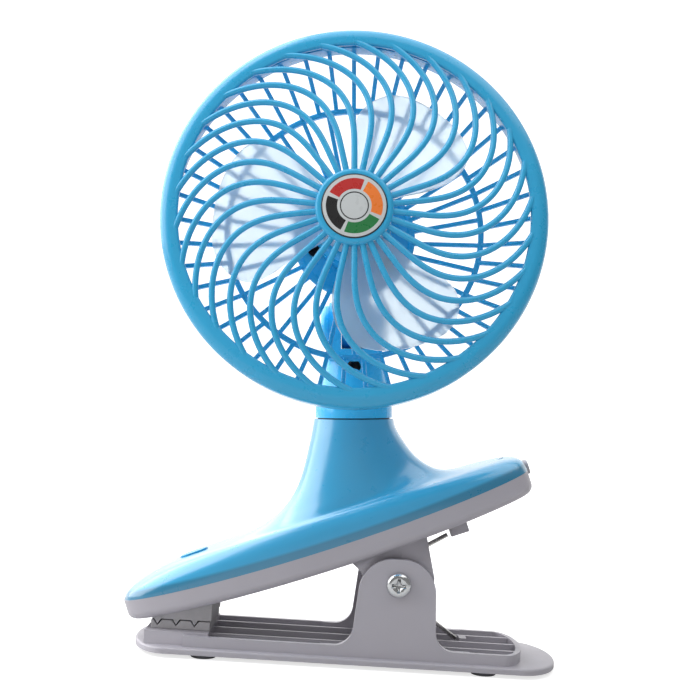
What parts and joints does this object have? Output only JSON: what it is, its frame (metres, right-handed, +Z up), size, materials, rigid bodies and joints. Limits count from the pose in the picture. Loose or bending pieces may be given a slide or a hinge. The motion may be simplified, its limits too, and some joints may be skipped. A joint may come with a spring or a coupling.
{
  "type": "clip fan",
  "caption": "Desk fan on a spring clip: round cage with swept ribs on a swivelling, tilting stem, carried by a flared neck on the clip's upper jaw.",
  "frame": {"origin": "on the lower jaw's flat underside, where the neck's swivel axis meets it; the feet stand a little lower", "axes": "+Z up, square to the lower jaw's underside; +X along the clip towards its handle end; the jaws bite at the -X end; +Y to the far side. The swivel axis leans 3.5 degrees from +Z towards -X"},
  "size_m": [0.1747, 0.0999, 0.2418],
  "materials": {
    "grey_plastic": "satin moulded",
    "blue_plastic": "glossy moulded",
    "rubber_pale": "matt",
    "rubber_grey": "matt",
    "screw_chrome": "bright plated",
    "spring_steel": "drawn wire",
    "dark_steel": "black oxide",
    "bright_steel": "plated sheet",
    "black_plastic": "matt",
    "circuit_board": "lacquered",
    "cell_sleeve": "shrink sleeve",
    "clear_lens": "clear",
    "badge": "printed",
    "blade_plastic": "frosted translucent"
  },
  "bodies": {
    "lower_jaw": {"lower_jaw": "grey_plastic", "rubber_feet": "rubber_grey", "lower_grip": "rubber_pale", "pivot_bolt": "screw_chrome", "pivot_nut": "screw_chrome"},
    "upper_jaw": {"jaw_housing": "grey_plastic", "top_cover": "blue_plastic", "upper_grip": "rubber_pale", "clip_spring": "spring_steel", "case_screws": "dark_steel", "tact_switch": "black_plastic", "switch_board": "circuit_board", "charge_board": "circuit_board", "charge_socket": "bright_steel", "battery_cell": "cell_sleeve", "cell_contacts": "bright_steel", "lamp_lens": "clear_lens"},
    "button": {"power_button": "blue_plastic"},
    "stem": {"stem_front": "blue_plastic", "stem_rear": "blue_plastic", "swivel_washer": "black_plastic", "retainer_ring": "black_plastic", "retainer_screws": "dark_steel", "stem_screw": "dark_steel", "tilt_bolt": "screw_chrome", "tilt_nut": "screw_chrome", "tilt_caps": "blue_plastic"},
    "head": {"front_ring": "blue_plastic", "front_grille": "blue_plastic", "badge_disc": "badge", "rear_ring": "blue_plastic", "rear_grille": "blue_plastic", "hinge_bracket": "blue_plastic", "plate_screws": "dark_steel", "motor_cup": "blue_plastic", "motor_can": "bright_steel"},
    "impeller": {"impeller": "blade_plastic", "motor_shaft": "bright_steel"}
  },
  "joints": [
    {"name": "clip_open", "type": "hinge", "parent": "lower_jaw", "child": "upper_jaw", "pos_m": [0.0155, 0, 0.0313], "axis": [0, 1, 0], "range_deg": [0, 25], "stiffness_Nm_per_rad": 1, "springref_deg": -51.57, "deforming": ["clip_spring"]},
    {"name": "button_press", "type": "slide", "parent": "upper_jaw", "child": "button", "axis": [0.3611, 0, -0.9325], "range_m": [0, 0.0008], "stiffness_N_per_m": 800, "springref_m": -0.001},
    {"name": "stem_swivel", "type": "hinge", "parent": "upper_jaw", "child": "stem", "pos_m": [-0.00576, 0, 0.09412], "axis": [-0.061, 0, 0.9981], "range_deg": [-170, 170]},
    {"name": "head_tilt", "type": "hinge", "parent": "stem", "child": "head", "pos_m": [-0.00806, 0, 0.13175], "axis": [-0.9981, 0, -0.061], "range_deg": [-12, 75]},
    {"name": "impeller_spin", "type": "hinge", "parent": "head", "child": "impeller", "pos_m": [-0.01038, -0.05598, 0.1697], "axis": [-0.0077, -0.9921, 0.1251], "continuous": true}
  ]
}
